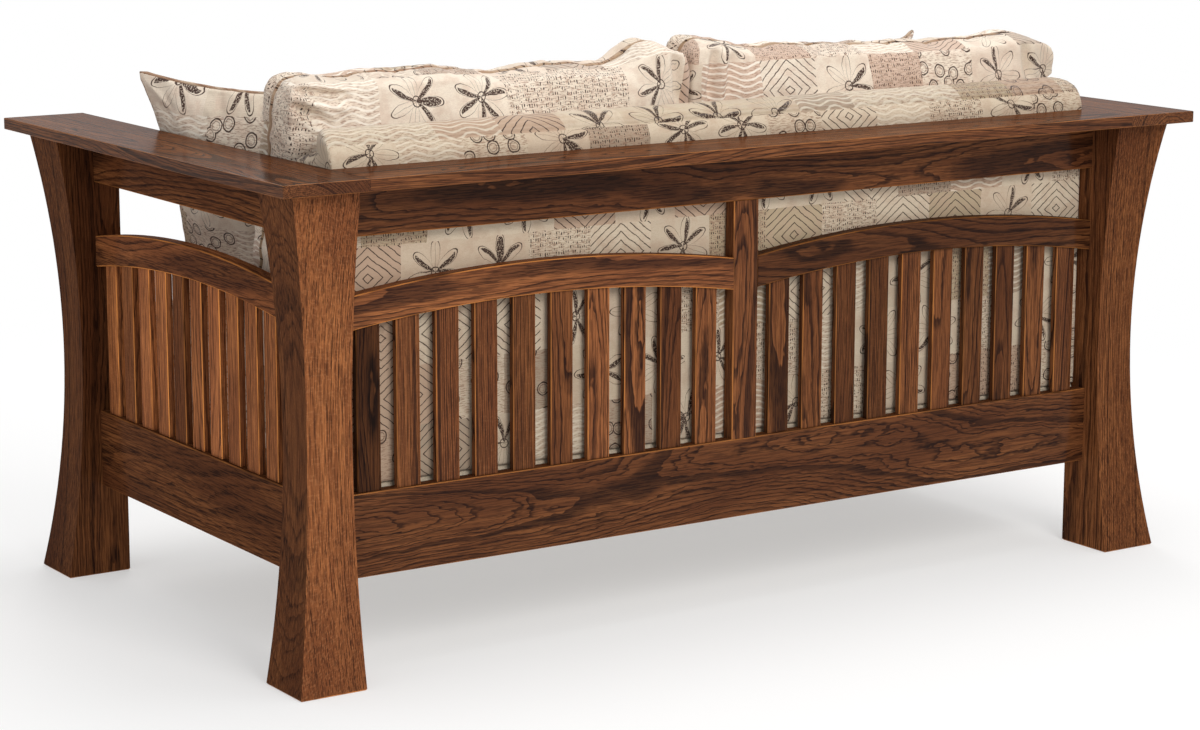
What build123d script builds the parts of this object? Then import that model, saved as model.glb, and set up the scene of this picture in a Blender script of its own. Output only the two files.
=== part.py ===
from build123d import *
import math
import os

# A two-seat settle with a slatted oak frame, hollow-swept posts, a drop-in seat deck,
# an upholstered back panel with a roll top and loose cushions. Sizes are in millimetres.
# X runs along the seat (the sitter's left is +X), +Y points to the back, +Z up, and the
# origin lies on the floor under the middle of the caps.

# Whole piece
overall_length = 1740.0
overall_depth = 990.0
arm_height = 762.0
cap_thickness = 19.0
cap_overhang = 30.0
back_cap_width = 121.0
cap_edge_radius = 1.5

# Posts
post_width = 110.0
post_hollow = 35.0
post_foot_ease = 2.0

# Rails and stile
rail_thickness = 24.0
rail_set_in = 65.0
rail_arris = 1.5
top_rail_height = 79.0
bottom_rail_height = 128.0
bottom_rail_lift = 152.0
arch_rail_height = 51.0
arch_rise = 28.0
arch_crown_gap = 62.0
stile_width = 48.0

# Slats
back_slats_per_bay = 10
side_slats_per_end = 11
back_slat_width = 40.0
side_slat_width = 39.0
slat_thickness = 12.0
slat_arris = 1.2

# Joinery
joint_clearance = 0.2
tenon_thickness = 12.0
tenon_length = 25.0
tenon_shoulder = 10.0
stile_tenon_length = 20.0
slat_tenon_length = 10.0
slat_tenon_shoulder = 4.0
slat_tenon_cheek = 2.0
dowel_diameter = 12.0
dowel_depth_in_cap = 12.0
dowel_depth_in_wood = 30.0

# Cleats, corner blocks and screws under the seat
cleat_height = 40.0
cleat_thickness = 25.0
cleat_end_gap = 5.0
corner_block_leg = 86.0
corner_block_height = 34.0
corner_block_lift = 10.0
corner_block_post_gap = 4.0
screw_shank_diameter = 5.0
screw_head_diameter = 9.5
screw_head_height = 3.5
screw_length = 40.0
fastener_side_count = 12
side_cleat_screws = 3
rear_cleat_screws = 4
cleat_screw_end_margin = 60.0

# Seat deck: a tilted frame with webbing, padded and covered
deck_front_overhang = 54.0
deck_fall = 46.0
deck_thickness = 48.0
deck_rear_gap = 6.0
deck_post_gap = 2.0
deck_rail_gap = 3.0
deck_notch_gap = 7.0
deck_bar_width = 60.0
deck_bar_thickness = 34.0
deck_cover_wrap = 4.0
deck_edge_radius = 6.0
webbing_thickness = 2.0
webbing_width = 50.0
webbing_straps = 14

# Upholstered back panel with its roll top
back_panel_depth = 110.0
back_panel_cap_gap = 0.5
back_panel_end_gap = 1.5
back_roll_shoulder_height = 772.0
back_roll_rise = 42.0
back_roll_end_radius = 18.0
back_board_thickness = 15.0
back_board_top_height = 735.0
back_board_end_inset = 30.0

# Loose cushions
soft_gap = 0.3
cushion_middle_gap = 2.0
cushion_arm_gap = 2.0
seat_cushion_front_overhang = 12.0
seat_cushion_rear_gap = 15.5
seat_cushion_thickness = 108.0
seat_cushion_crown = 22.0
cushion_draw_in = 5.0
cushion_corner_radius = 28.0
back_cushion_height = 472.0
back_cushion_edge_thickness = 85.0
back_cushion_front_crown = 35.0
back_cushion_rear_crown = 46.0
back_cushion_foot_gap = 144.0
back_cushion_lean_run = 90.0
back_cushion_seat_lift = 12.3

# Throw pillows, each leaning in its corner
pillow_width = 420.0
pillow_height = 430.0
pillow_thickness = 125.0
pillow_crest_difference = 8.0
pillow_edge_thickness = 8.0
pillow_draw_in = 9.0
pillow_lean_angle = 18.6
left_pillow_turn_angle = 36.0
left_pillow_arm_reach = 18.2
left_pillow_back_reach = 475.6
left_pillow_foot_lift = 7.46
right_pillow_turn_angle = 54.0
right_pillow_arm_reach = 13.4
right_pillow_back_reach = 377.5
right_pillow_foot_lift = 6.56

# Shares that only shape the crowns
crown_end_share = 0.3
crown_station_shares = (-0.5, -0.3, 0.0, 0.3, 0.5)

overrun = 20.0

# Places that follow from the sizes above
half_length = overall_length / 2 - cap_overhang
half_depth = overall_depth / 2 - cap_overhang
post_height = arm_height - cap_thickness
post_inner_x = half_length - post_width
post_inner_y = half_depth - post_width
rail_face_x = half_length - rail_set_in
rail_face_y = half_depth - rail_set_in
rail_inner_x = rail_face_x - rail_thickness
rail_inner_y = rail_face_y - rail_thickness
top_rail_bottom = post_height - top_rail_height
arch_spring_height = top_rail_bottom - arch_crown_gap - arch_rise - arch_rail_height
bottom_rail_top = bottom_rail_lift + bottom_rail_height
arm_cap_inner_x = post_inner_x
back_cap_inner_y = overall_depth / 2 - back_cap_width
stile_half = stile_width / 2
bay_middle = (post_inner_x + stile_half) / 2

# The deck's own frame: its origin is the front lower edge, its Y runs back down the slope
deck_front_y = -rail_inner_y - deck_front_overhang
deck_rear_y = rail_inner_y - deck_rear_gap
deck_tilt_angle = math.degrees(math.atan2(deck_fall, deck_rear_y - deck_front_y))
deck_slope = deck_fall / (deck_rear_y - deck_front_y)
deck_origin_z = bottom_rail_top + deck_slope * deck_front_overhang
deck_length = math.hypot(deck_fall, deck_rear_y - deck_front_y)
deck_top_rise = deck_thickness / math.cos(math.radians(deck_tilt_angle))
back_panel_rear_y = back_cap_inner_y - back_panel_cap_gap
back_panel_front_y = back_panel_rear_y - back_panel_depth
seat_cushion_depth = back_panel_front_y - deck_front_y + seat_cushion_front_overhang - seat_cushion_rear_gap
back_cushion_foot_y = back_panel_front_y - back_cushion_foot_gap
pillow_base_z = bottom_rail_top + deck_thickness + seat_cushion_thickness


def block(x_from, x_to, y_from, y_to, z_from, z_to):
    """A square-cornered block between two values on each axis."""
    middle = Pos((x_from + x_to) / 2, (y_from + y_to) / 2, (z_from + z_to) / 2)
    return middle * Box(x_to - x_from, y_to - y_from, z_to - z_from)


def upright_prism(outline, y_from, y_to):
    """An outline drawn in X and Z, run from one Y to another."""
    face = make_face(Plane.XZ * outline)
    return Pos(0, y_from, 0) * extrude(face, y_to - y_from, dir=(0, 1, 0))


def side_prism(outline, x_from, x_to):
    """An outline drawn in Y and Z, run from one X to another."""
    face = make_face(Plane.YZ * outline)
    return Pos(x_from, 0, 0) * extrude(face, x_to - x_from, dir=(1, 0, 0))


def flat_prism(outline, z_from, z_to):
    """An outline drawn in X and Y, run from one Z to another."""
    return Pos(0, 0, z_from) * extrude(make_face(outline), z_to - z_from, dir=(0, 0, 1))


# A panel's own frame: X along the panel, Z up, the show face at Y zero and the wood behind it

def on_back(shape):
    return Pos(0, rail_face_y, 0) * shape


def on_front(shape):
    return Pos(0, -rail_face_y, 0) * Rot(0, 0, 180) * shape


def on_left(shape):
    return Pos(rail_face_x, 0, 0) * Rot(0, 0, -90) * shape


def to_right(shape):
    return mirror(shape, about=Plane.YZ)


def to_front(shape):
    return mirror(shape, about=Plane.XZ)


def board(u_from, u_to, z_from, z_to):
    """A rail with its long arrises eased."""
    blank = block(u_from, u_to, -rail_thickness, 0, z_from, z_to)
    return chamfer(blank.edges().filter_by(Axis.X), rail_arris)


def tenon(u_from, u_to, z_from, z_to, clearance=0):
    """A rail's tenon, or its mortise where a clearance is given."""
    cheek = (rail_thickness - tenon_thickness) / 2
    return block(
        u_from - clearance,
        u_to + clearance,
        -rail_thickness + cheek - clearance,
        -cheek + clearance,
        z_from + tenon_shoulder - clearance,
        z_to - tenon_shoulder + clearance,
    )


def end_tenons(half_span, z_from, z_to, clearance=0):
    return [
        tenon(half_span, half_span + tenon_length, z_from, z_to, clearance),
        tenon(-half_span - tenon_length, -half_span, z_from, z_to, clearance),
    ]


def straight_rail(half_span, z_from, z_to):
    return board(-half_span, half_span, z_from, z_to) + end_tenons(half_span, z_from, z_to)


def arch_radius(span):
    return (span * span / 4 + arch_rise * arch_rise) / (2 * arch_rise)


def arch_underside(distance, span):
    """Height of the arch rail's lower edge at a distance from the middle of its span."""
    radius = arch_radius(span)
    return arch_spring_height + arch_rise - radius + math.sqrt(radius * radius - distance * distance)


def arch_edge(u_from, u_to, lift):
    ends = arch_spring_height + lift
    crown = ends + arch_rise
    return ThreePointArc((u_from, ends), ((u_from + u_to) / 2, crown), (u_to, ends))


def arch_rail(u_from, u_to, length_from, length_to):
    """A rail bowed upwards at a steady height, with a tenon of its own length at each end."""
    top = arch_spring_height + arch_rail_height
    outline = arch_edge(u_from, u_to, 0)
    outline += Line((u_to, arch_spring_height), (u_to, top))
    outline += arch_edge(u_from, u_to, arch_rail_height)
    outline += Line((u_from, top), (u_from, arch_spring_height))
    bow = upright_prism(outline, -rail_thickness, 0)
    long_edges = bow.edges().filter_by(GeomType.CIRCLE)
    bow = chamfer(long_edges, rail_arris)
    bow += tenon(u_from - length_from, u_from, arch_spring_height, top)
    bow += tenon(u_to, u_to + length_to, arch_spring_height, top)
    return bow


def under_arch(u_from, u_to):
    """The open field of a bay, between the bottom rail and the arch."""
    outline = arch_edge(u_from, u_to, 0)
    outline += Line((u_to, arch_spring_height), (u_to, bottom_rail_top))
    outline += Line((u_to, bottom_rail_top), (u_from, bottom_rail_top))
    outline += Line((u_from, bottom_rail_top), (u_from, arch_spring_height))
    return upright_prism(outline, -rail_thickness, 0)


def slat_places(u_from, u_to, width, count):
    """Middles of slats that share their bay with equal gaps."""
    gap = (u_to - u_from - count * width) / (count + 1)
    return [u_from + gap + width / 2 + number * (gap + width) for number in range(count)]


def slat_tenon(middle, width, u_from, u_to, clearance=0):
    """The stub that runs through a slat into both rails, or its mortises."""
    half_width = width / 2 - slat_tenon_shoulder + clearance
    half_thick = slat_thickness / 2 - slat_tenon_cheek + clearance
    low = bottom_rail_top - slat_tenon_length - clearance
    high = arch_underside(middle - (u_from + u_to) / 2, u_to - u_from)
    high += slat_tenon_length + clearance
    centre = -rail_thickness / 2
    return block(
        middle - half_width,
        middle + half_width,
        centre - half_thick,
        centre + half_thick,
        low,
        high,
    )


def slat(middle, width, u_from, u_to):
    """One slat, its top shoulder cut to the arch."""
    near = -(rail_thickness - slat_thickness) / 2
    top = arch_spring_height + arch_rise + overrun
    blank = block(middle - width / 2, middle + width / 2, near - slat_thickness, near, bottom_rail_top, top)
    blank = chamfer(blank.edges().filter_by(Axis.Z), slat_arris)
    return (blank & under_arch(u_from, u_to)) + slat_tenon(middle, width, u_from, u_to)


def slat_mortises(u_from, u_to, width, count):
    places = slat_places(u_from, u_to, width, count)
    return [slat_tenon(place, width, u_from, u_to, joint_clearance) for place in places]


def post_blank():
    """The rear left post: its two outward faces are swept hollow from floor to cap."""
    def outline(inner, outer):
        hollow = ThreePointArc((outer, 0), (outer - post_hollow, post_height / 2), (outer, post_height))
        return hollow + Polyline((outer, post_height), (inner, post_height), (inner, 0), (outer, 0))

    seen_from_back = upright_prism(outline(post_inner_x, half_length), post_inner_y, half_depth)
    seen_from_side = side_prism(outline(post_inner_y, half_depth), post_inner_x, half_length)
    post = seen_from_back & seen_from_side
    post = chamfer(post.faces().sort_by(Axis.Z)[0].edges(), post_foot_ease)
    return post


def post_middle():
    return (post_inner_x + half_length) / 2, (post_inner_y + half_depth) / 2


def dowel(x, y):
    """A dowel half in the wood and half in the cap, round to within a few flats."""
    outline = RegularPolygon(dowel_diameter / 2, fastener_side_count)
    pin = extrude(outline, dowel_depth_in_wood + dowel_depth_in_cap)
    return Pos(x, y, post_height - dowel_depth_in_wood) * pin


def dowel_places():
    """One dowel in each post, two in the back rail."""
    x, y = post_middle()
    rail_y = rail_face_y - rail_thickness / 2
    posts = [(x, y), (-x, y), (x, -y), (-x, -y)]
    return posts + [(bay_middle, rail_y), (-bay_middle, rail_y)]


def dowels():
    return [dowel(x, y) for x, y in dowel_places()]


def rail_mortises(half_span):
    """The mortises of a panel's three rails, in the panel's own frame."""
    arch_top = arch_spring_height + arch_rail_height
    cuts = end_tenons(half_span, top_rail_bottom, post_height, joint_clearance)
    cuts += end_tenons(half_span, arch_spring_height, arch_top, joint_clearance)
    cuts += end_tenons(half_span, bottom_rail_lift, bottom_rail_top, joint_clearance)
    return cuts


def back_mortises():
    return [on_back(cut) for cut in rail_mortises(post_inner_x)]


def front_mortises():
    cuts = end_tenons(post_inner_x, bottom_rail_lift, bottom_rail_top, joint_clearance)
    return [on_front(cut) for cut in cuts]


def left_mortises():
    return [on_left(cut) for cut in rail_mortises(post_inner_y)]


def posts():
    """Four posts: the front pair mirrors the back pair, but holds only one rail across."""
    blank = post_blank()
    rear = blank - back_mortises() - left_mortises() - dowels()
    front = to_front(blank) - front_mortises() - left_mortises() - dowels()
    return {
        "post_rear_left": rear,
        "post_rear_right": to_right(rear),
        "post_front_left": front,
        "post_front_right": to_right(front),
    }


def caps():
    """Two arm caps the full depth of the piece, and a back cap that butts between them."""
    outer_x, outer_y = overall_length / 2, overall_depth / 2
    arm = block(arm_cap_inner_x, outer_x, -outer_y, outer_y, post_height, arm_height)
    outer_edges = arm.edges().filter_by(Axis.Y).group_by(Axis.X)[-1]
    end_edges = arm.edges().filter_by(Axis.X)
    arm = fillet(outer_edges + end_edges, cap_edge_radius) - dowels()
    back = block(-arm_cap_inner_x, arm_cap_inner_x, back_cap_inner_y, outer_y, post_height, arm_height)
    back = fillet(back.edges().filter_by(Axis.X), cap_edge_radius) - dowels()
    return {"arm_cap_left": arm, "arm_cap_right": to_right(arm), "back_cap": back}


def back_frame():
    """Top rail, stile, two arched rails and bottom rail of the back."""
    stile_tenon_half = stile_half - tenon_shoulder
    cheek = (rail_thickness - tenon_thickness) / 2

    def stile_tenon(clearance):
        return block(
            -stile_tenon_half - clearance,
            stile_tenon_half + clearance,
            -rail_thickness + cheek - clearance,
            -cheek + clearance,
            bottom_rail_top - tenon_length - clearance,
            top_rail_bottom + tenon_length + clearance,
        )

    arch_top = arch_spring_height + arch_rail_height
    stile = block(-stile_half, stile_half, -rail_thickness, 0, bottom_rail_top, top_rail_bottom)
    stile = chamfer(stile.edges().filter_by(Axis.Z), rail_arris) + stile_tenon(0)
    reach = stile_half - stile_tenon_length
    stile -= [
        tenon(reach, stile_half, arch_spring_height, arch_top, joint_clearance),
        tenon(-stile_half, -reach, arch_spring_height, arch_top, joint_clearance),
    ]

    arch = arch_rail(stile_half, post_inner_x, stile_tenon_length, tenon_length)
    mortises = slat_mortises(stile_half, post_inner_x, back_slat_width, back_slats_per_bay)
    arch -= mortises

    top = straight_rail(post_inner_x, top_rail_bottom, post_height) - [stile_tenon(joint_clearance)]
    bottom = straight_rail(post_inner_x, bottom_rail_lift, bottom_rail_top) - [stile_tenon(joint_clearance)]
    bottom = bottom - mortises - [to_right(cut) for cut in mortises]
    return {
        "back_top_rail": on_back(top) - dowels(),
        "back_stile": on_back(stile),
        "back_arch_rail_left": on_back(arch),
        "back_arch_rail_right": to_right(on_back(arch)),
        "back_bottom_rail": on_back(bottom) - rear_screws(),
    }


def back_slats():
    """Ten slats to a bay, counted outwards from the stile."""
    slats = {}
    places = slat_places(stile_half, post_inner_x, back_slat_width, back_slats_per_bay)
    for number, place in enumerate(places, start=1):
        piece = on_back(slat(place, back_slat_width, stile_half, post_inner_x))
        slats[f"back_slat_left_{number:02d}"] = piece
        slats[f"back_slat_right_{number:02d}"] = to_right(piece)
    return slats


def end_frame():
    """Top rail, arched rail, bottom rail and slats of one arm, and the same mirrored."""
    mortises = slat_mortises(-post_inner_y, post_inner_y, side_slat_width, side_slats_per_end)
    arch = arch_rail(-post_inner_y, post_inner_y, tenon_length, tenon_length) - mortises
    bottom = straight_rail(post_inner_y, bottom_rail_lift, bottom_rail_top) - mortises
    places = slat_places(-post_inner_y, post_inner_y, side_slat_width, side_slats_per_end)
    row = [on_left(slat(place, side_slat_width, -post_inner_y, post_inner_y)) for place in places]
    left = {
        "side_top_rail": on_left(straight_rail(post_inner_y, top_rail_bottom, post_height)),
        "side_arch_rail": on_left(arch),
        "side_bottom_rail": on_left(bottom) - left_screws(),
        "side_slats": Compound(children=row),
    }
    pieces = {}
    for name, shape in left.items():
        pieces[name + "_left"] = shape
        pieces[name + "_right"] = to_right(shape)
    return pieces


def on_deck(shape):
    """Sets a shape drawn in the deck's own frame on the slope."""
    return Pos(0, deck_front_y, deck_origin_z) * Rot(-deck_tilt_angle, 0, 0) * shape


def deck_underside(y):
    return deck_origin_z - deck_slope * (y - deck_front_y)


def deck_top(y):
    return deck_underside(y) + deck_top_rise


def wood_screw():
    """A countersunk screw along +X with its head at zero, round to within a few flats."""
    head = Plane.YZ * RegularPolygon(screw_head_diameter / 2, fastener_side_count)
    shank = Plane.YZ * RegularPolygon(screw_shank_diameter / 2, fastener_side_count)
    neck = Pos(screw_head_height, 0, 0) * shank
    return loft([head, neck]) + extrude(neck, screw_length - screw_head_height, dir=(1, 0, 0))


def left_screws():
    """Screws through the left cleat into the side rail, half way up the cleat."""
    run = post_inner_y - cleat_end_gap - cleat_screw_end_margin
    places = []
    for number in range(side_cleat_screws):
        y = -run + 2 * run * number / (side_cleat_screws - 1)
        z = deck_underside(y) - cleat_height / 2
        places.append(Pos(rail_inner_x - cleat_thickness, y, z) * wood_screw())
    return places


def rear_screws():
    """Screws through the rear cleat into the back rail."""
    run = post_inner_x - cleat_end_gap - cleat_screw_end_margin
    places = []
    y = rail_inner_y - cleat_thickness
    z = deck_underside(rail_inner_y) - cleat_height / 2
    for number in range(rear_cleat_screws):
        x = -run + 2 * run * number / (rear_cleat_screws - 1)
        places.append(Pos(x, y, z) * Rot(0, 0, 90) * wood_screw())
    return places


def cleats():
    """Sloping cleats that carry the deck along the arms and the back."""
    end_y = post_inner_y - cleat_end_gap
    slope = Polyline(
        (-end_y, deck_underside(-end_y)),
        (end_y, deck_underside(end_y)),
        (end_y, deck_underside(end_y) - cleat_height),
        (-end_y, deck_underside(-end_y) - cleat_height),
        close=True,
    )
    side = side_prism(slope, rail_inner_x - cleat_thickness, rail_inner_x) - left_screws()
    near, far = rail_inner_y - cleat_thickness, rail_inner_y
    section = Polyline(
        (near, deck_underside(near)),
        (far, deck_underside(far)),
        (far, deck_underside(far) - cleat_height),
        (near, deck_underside(far) - cleat_height),
        close=True,
    )
    end_x = post_inner_x - cleat_end_gap
    rear = side_prism(section, -end_x, end_x) - rear_screws()
    return {"side_cleat_left": side, "side_cleat_right": to_right(side), "rear_cleat": rear}


def cleat_screws():
    left = left_screws()
    right = [to_right(screw) for screw in left]
    return Compound(children=left + right + rear_screws())


def corner_blocks():
    """Four diagonal blocks that brace the bottom rails, notched round the posts."""
    notch_x = post_inner_x - corner_block_post_gap
    notch_y = post_inner_y - corner_block_post_gap
    outline = Polyline(
        (rail_inner_x, rail_inner_y - corner_block_leg),
        (rail_inner_x, notch_y),
        (notch_x, notch_y),
        (notch_x, rail_inner_y),
        (rail_inner_x - corner_block_leg, rail_inner_y),
        close=True,
    )
    base = bottom_rail_lift + corner_block_lift
    rear_left = flat_prism(outline, base, base + corner_block_height)
    rear_right = to_right(rear_left)
    return Compound(children=[rear_left, rear_right, to_front(rear_left), to_front(rear_right)])


def deck_frame():
    """Front and rear bars, three bars between them, and the webbing that spans them."""
    end_x = post_inner_x - deck_post_gap - deck_cover_wrap
    rear = deck_length - deck_cover_wrap
    front_bar = block(-end_x, end_x, deck_cover_wrap, deck_cover_wrap + deck_bar_width, 0, deck_bar_thickness)
    rear_bar = block(-end_x, end_x, rear - deck_bar_width, rear, 0, deck_bar_thickness)
    y_from, y_to = deck_cover_wrap + deck_bar_width, rear - deck_bar_width
    half_bar = deck_bar_width / 2
    middles = (-end_x + half_bar, 0, end_x - half_bar)
    bars = [block(x - half_bar, x + half_bar, y_from, y_to, 0, deck_bar_thickness) for x in middles]

    run = end_x - deck_bar_width - webbing_width
    straps = []
    for number in range(webbing_straps):
        x = -run + 2 * run * number / (webbing_straps - 1)
        half = webbing_width / 2
        top = deck_bar_thickness + webbing_thickness
        straps.append(on_deck(block(x - half, x + half, deck_cover_wrap, rear, deck_bar_thickness, top)))
    return {
        "deck_front_bar": on_deck(front_bar),
        "deck_rear_bar": on_deck(rear_bar),
        "deck_cross_bars": Compound(children=[on_deck(bar) for bar in bars]),
        "seat_webbing": Compound(children=straps),
    }


def deck_pad():
    """Padding and cover over the deck frame, wider where it lies between the posts."""
    narrow = post_inner_x - deck_post_gap
    wide = rail_inner_x - deck_rail_gap
    along_front = -post_inner_y - deck_front_y + deck_notch_gap
    along_rear = post_inner_y - deck_front_y - deck_notch_gap
    slab = block(-narrow, narrow, 0, deck_length, 0, deck_thickness)
    slab += block(-wide, wide, along_front, along_rear, 0, deck_thickness)
    slab = fillet(slab.faces().sort_by(Axis.Z)[-1].edges(), deck_edge_radius)
    pocket_x = narrow - deck_cover_wrap
    pocket_top = deck_bar_thickness + webbing_thickness
    pocket = block(-pocket_x, pocket_x, deck_cover_wrap, deck_length - deck_cover_wrap, -overrun, pocket_top)
    return on_deck(slab - pocket)


def back_panel():
    """The upholstered back: a board in a padded cover that swells to a roll above the cap."""
    front, rear = back_panel_front_y, back_panel_rear_y
    shoulder = back_roll_shoulder_height
    middle = (front + rear) / 2
    outline = Polyline(
        (rear, shoulder), (rear, deck_top(rear)), (front, deck_top(front)), (front, shoulder)
    )
    outline += ThreePointArc((front, shoulder), (middle, shoulder + back_roll_rise), (rear, shoulder))
    end_x = post_inner_x - back_panel_end_gap
    high = shoulder + back_roll_rise
    front_view = Polyline((-end_x, 0), (end_x, 0), (end_x, high), (-end_x, high), close=True)
    rounded = fillet(make_face(front_view).vertices().group_by(Axis.Y)[-1], back_roll_end_radius)
    column = Pos(0, front, 0) * extrude(Plane.XZ * rounded, back_panel_depth, dir=(0, 1, 0))
    cover = side_prism(outline, -end_x, end_x) & column
    board_x = end_x - back_board_end_inset
    near, far = middle - back_board_thickness / 2, middle + back_board_thickness / 2
    board_outline = Polyline(
        (near, back_board_top_height),
        (far, back_board_top_height),
        (far, deck_top(far)),
        (near, deck_top(near)),
        close=True,
    )
    inner_board = side_prism(board_outline, -board_x, board_x)
    return {"back_panel_board": inner_board, "back_upholstery": cover - inner_board}


def drawn_in_outline(width, depth, draw_in, corner_radius):
    """A rectangle whose four sides pull in between its rounded corners."""
    x, y = width / 2, depth / 2
    outline = ThreePointArc((-x, -y), (0, -y + draw_in), (x, -y))
    outline += ThreePointArc((x, -y), (x - draw_in, 0), (x, y))
    outline += ThreePointArc((x, y), (0, y - draw_in), (-x, y))
    outline += ThreePointArc((-x, y), (-x + draw_in, 0), (-x, -y))
    face = make_face(outline)
    return fillet(face.vertices(), corner_radius)


def crown_edge(half, level, rise):
    """One face of a cushion seen in section: an arc, or a line where it lies flat."""
    if rise == 0:
        return Line((-half, level), (half, level))
    return ThreePointArc((-half, level), (0, level + rise), (half, level))


def crowned_slab(width, depth, thickness, crown_top, crown_bottom):
    """A slab lofted through arcs whose rise grows from the ends to the middle."""
    sections = []
    half = depth / 2
    for station in crown_station_shares:
        swell = crown_end_share + (1 - crown_end_share) * (1 - 4 * station * station)
        top = crown_edge(half, thickness, crown_top * swell)
        bottom = crown_edge(half, 0, -crown_bottom * swell)
        walls = Line((half, thickness), (half, 0)) + Line((-half, 0), (-half, thickness))
        section = make_face(Plane.YZ * (top + walls + bottom))
        sections.append(Pos(station * width, 0, 0) * section)
    return loft(sections)


def box_cushion(width, depth, thickness, crown_top, crown_bottom):
    """A boxed cushion, centred in X and Y, crowned above and below."""
    slab = crowned_slab(width, depth, thickness, crown_top, crown_bottom)
    outline = drawn_in_outline(width, depth, cushion_draw_in, cushion_corner_radius)
    reach = crown_bottom + overrun
    column = Pos(0, 0, -reach) * extrude(outline, reach + thickness + crown_top + overrun, dir=(0, 0, 1))
    return slab & column


def seat_cushion():
    width = post_inner_x - cushion_arm_gap - cushion_middle_gap / 2
    middle_x = (post_inner_x - cushion_arm_gap + cushion_middle_gap / 2) / 2
    middle_y = seat_cushion_depth / 2 - seat_cushion_front_overhang
    pad = box_cushion(width, seat_cushion_depth, seat_cushion_thickness, seat_cushion_crown, 0)
    return on_deck(Pos(middle_x, middle_y, deck_thickness + soft_gap) * pad)


def back_cushion():
    """Stands on the seat cushion and leans back; its width runs between the arms."""
    width = post_inner_x - cushion_arm_gap - cushion_middle_gap / 2
    middle_x = (post_inner_x - cushion_arm_gap + cushion_middle_gap / 2) / 2
    lean_angle = math.degrees(math.asin(back_cushion_lean_run / back_cushion_height))
    half_edge = back_cushion_edge_thickness / 2
    pad = box_cushion(
        width,
        back_cushion_height,
        back_cushion_edge_thickness,
        back_cushion_rear_crown,
        back_cushion_front_crown,
    )
    upright = Rot(90, 0, 0) * Rot(0, 180, 0) * Pos(0, back_cushion_height / 2, -half_edge) * pad
    foot_z = deck_top(back_cushion_foot_y) + seat_cushion_thickness + back_cushion_seat_lift
    return Pos(middle_x, back_cushion_foot_y, foot_z) * Rot(-lean_angle, 0, 0) * upright


def pillow_plane(arm_reach, back_reach, foot_lift, turn_angle):
    """The pillow's own plane: X along its width from the tip over the arm, Y up its height."""
    turn, lean = math.radians(turn_angle), math.radians(pillow_lean_angle)
    across = Vector(-math.sin(turn), math.cos(turn), 0)
    up = Vector(math.cos(turn) * math.sin(lean), math.sin(turn) * math.sin(lean), math.cos(lean))
    tip_z = pillow_base_z + pillow_height * up.Z + foot_lift
    tip = Vector(post_inner_x + arm_reach, back_panel_front_y - back_reach, tip_z)
    middle = tip + across * (pillow_width / 2) - up * (pillow_height / 2)
    return Plane(origin=middle, x_dir=across, z_dir=across.cross(up))


def lens_outline(width, thickness):
    """Two arcs that meet at thin edges: a pillow seen from one side."""
    half, edge, swell = width / 2, pillow_edge_thickness / 2, thickness / 2
    outline = ThreePointArc((-half, edge), (0, swell), (half, edge))
    outline += Line((half, edge), (half, -edge))
    outline += ThreePointArc((half, -edge), (0, -swell), (-half, -edge))
    return outline + Line((-half, -edge), (-half, edge))


def pillow():
    """A knife-edged pillow: it swells both ways from its edges, and its sides draw in."""
    steeper = pillow_thickness + pillow_crest_difference
    swell_across = upright_prism(lens_outline(pillow_width, pillow_thickness), -pillow_height, pillow_height)
    swell_upwards = side_prism(lens_outline(pillow_height, steeper), -pillow_width, pillow_width)
    outline = drawn_in_outline(pillow_width, pillow_height, pillow_draw_in, pillow_edge_thickness)
    column = Pos(0, 0, -pillow_thickness) * extrude(outline, 2 * pillow_thickness, dir=(0, 0, 1))
    return swell_across & swell_upwards & column


def cushions():
    seat, back = seat_cushion(), back_cushion()
    left_plane = pillow_plane(
        left_pillow_arm_reach, left_pillow_back_reach, left_pillow_foot_lift, left_pillow_turn_angle
    )
    right_plane = pillow_plane(
        right_pillow_arm_reach, right_pillow_back_reach, right_pillow_foot_lift, right_pillow_turn_angle
    )
    return {
        "seat_cushion_left": seat,
        "seat_cushion_right": to_right(seat),
        "back_cushion_left": back,
        "back_cushion_right": to_right(back),
        "throw_pillow_left": left_plane * pillow(),
        "throw_pillow_right": to_right(right_plane * pillow()),
    }


def build():
    pieces = {}
    pieces.update(posts())
    pieces.update(caps())
    pieces.update(back_frame())
    pieces.update(back_slats())
    pieces.update(end_frame())
    pieces["front_rail"] = on_front(straight_rail(post_inner_x, bottom_rail_lift, bottom_rail_top))
    pieces["cap_dowels"] = Compound(children=dowels())
    pieces.update(cleats())
    pieces["cleat_screws"] = cleat_screws()
    pieces["corner_blocks"] = corner_blocks()
    pieces.update(deck_frame())
    pieces["deck_pad"] = deck_pad()
    pieces.update(back_panel())
    pieces.update(cushions())
    return pieces


os.makedirs("parts", exist_ok=True)
for node, shape in build().items():
    export_step(shape, f"parts/{node}.step")
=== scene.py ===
import math
import random

import bpy
from mathutils import Matrix, Vector
from mathutils.bvhtree import BVHTree


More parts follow.
